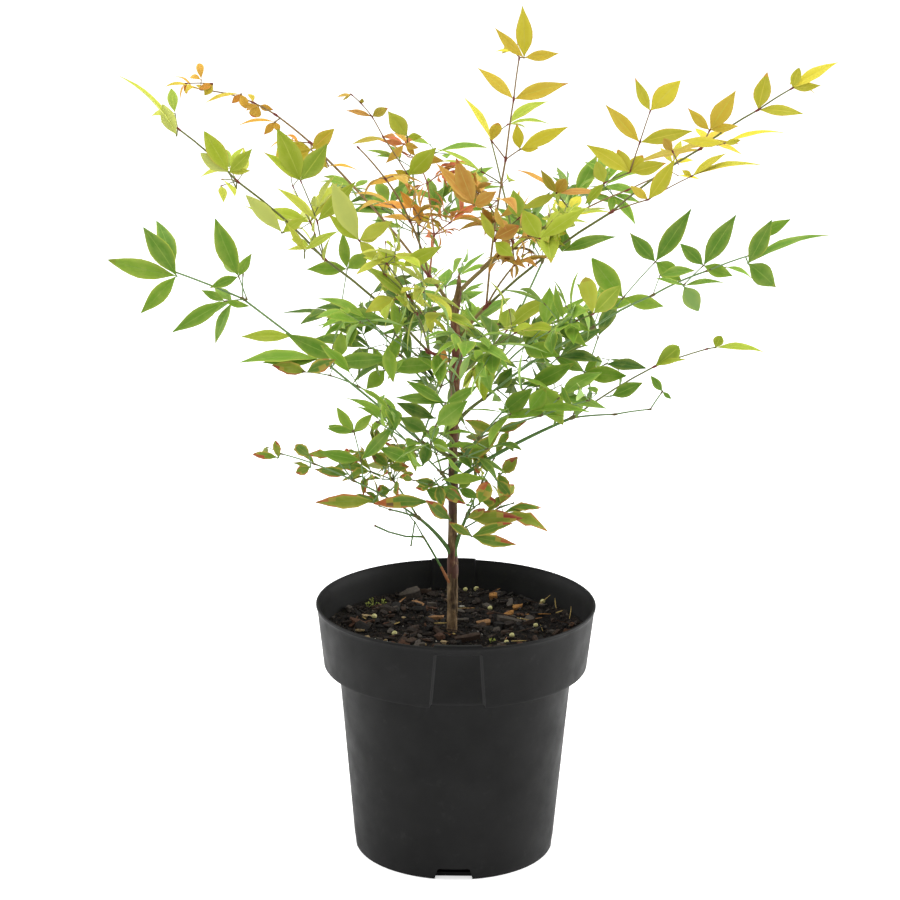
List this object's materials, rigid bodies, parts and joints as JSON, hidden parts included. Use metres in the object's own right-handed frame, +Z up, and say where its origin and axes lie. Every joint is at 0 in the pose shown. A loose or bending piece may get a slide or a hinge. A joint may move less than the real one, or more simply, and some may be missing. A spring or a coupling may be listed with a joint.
{
  "type": "potted heavenly bamboo shrub",
  "caption": "Young heavenly bamboo shrub with one cane and open, branching compound leaves, growing in a round nursery pot with a deep collar.",
  "frame": {"origin": "middle of the pot's flat underside", "axes": "+Z up along the cane, +X to the right and -Y to the front, where the pot's flat panel and one foot notch are"},
  "size_m": [0.4711, 0.3403, 0.5545],
  "materials": {
    "pot_plastic": "matte charcoal plastic with a faint sheen",
    "potting_mix": "dark moist bark mix",
    "bark": "brown bark, dark red between the upper leaf bases",
    "stalk": "smooth olive stalks with red-brown joints",
    "leaf_yellow": "young yellow leaflets, satin",
    "leaf_lime": "lime green leaflets, satin",
    "leaf_bronze": "bronze young leaflets, satin",
    "leaf_orange": "orange young leaflets, satin",
    "leaf_red": "red-orange young leaflets, satin",
    "leaf_green": "mid green leaflets, satin",
    "leaf_deep": "deep green leaflets, satin",
    "leaf_aged": "older green leaflets with red and yellow margins"
  },
  "bodies": {
    "root": {"pot": "pot_plastic", "soil": "potting_mix", "cane": "bark", "bare_front_left": "stalk", "bare_left": "stalk", "bare_right": "stalk", "stalk_crown": "stalk", "stalk_top": "stalk", "stalk_arch": "stalk", "stalk_left": "stalk", "stalk_middle": "stalk", "stalk_right": "stalk", "stalk_low_back": "stalk", "stalk_near_right": "stalk", "stalk_near_left": "stalk", "stalk_low_left": "stalk", "stalk_low_right": "stalk", "stalk_foot_left": "stalk", "stalk_foot_right": "stalk", "foliage_crown_tall": "leaf_yellow", "foliage_crown_right": "leaf_lime", "foliage_crown_front": "leaf_bronze", "foliage_top_right": "leaf_yellow", "foliage_top_back": "leaf_lime", "foliage_top_front": "leaf_lime", "foliage_arch_left": "leaf_orange", "foliage_arch_back": "leaf_red", "foliage_arch_front": "leaf_bronze", "foliage_left_high": "leaf_lime", "foliage_left_front": "leaf_lime", "foliage_left_back": "leaf_green", "foliage_middle_left": "leaf_green", "foliage_middle_front": "leaf_green", "foliage_middle_right": "leaf_lime", "foliage_right_far": "leaf_green", "foliage_right_front": "leaf_green", "foliage_right_back": "leaf_green", "foliage_low_back_left": "leaf_deep", "foliage_low_back_back": "leaf_green", "foliage_low_back_right": "leaf_deep", "foliage_near_right_far": "leaf_green", "foliage_near_right_front": "leaf_green", "foliage_near_right_back": "leaf_deep", "foliage_near_left_left": "leaf_green", "foliage_near_left_front": "leaf_green", "foliage_near_left_right": "leaf_deep", "foliage_low_left_far": "leaf_green", "foliage_low_left_front": "leaf_green", "foliage_low_left_back": "leaf_deep", "foliage_low_right_far": "leaf_lime", "foliage_low_right_back": "leaf_deep", "foliage_low_right_front": "leaf_green", "foliage_foot_left_far": "leaf_aged", "foliage_foot_left_front": "leaf_aged", "foliage_foot_left_back": "leaf_aged", "foliage_foot_right_far": "leaf_aged", "foliage_foot_right_back": "leaf_aged", "foliage_foot_right_front": "leaf_deep"}
  },
  "joints": []
}
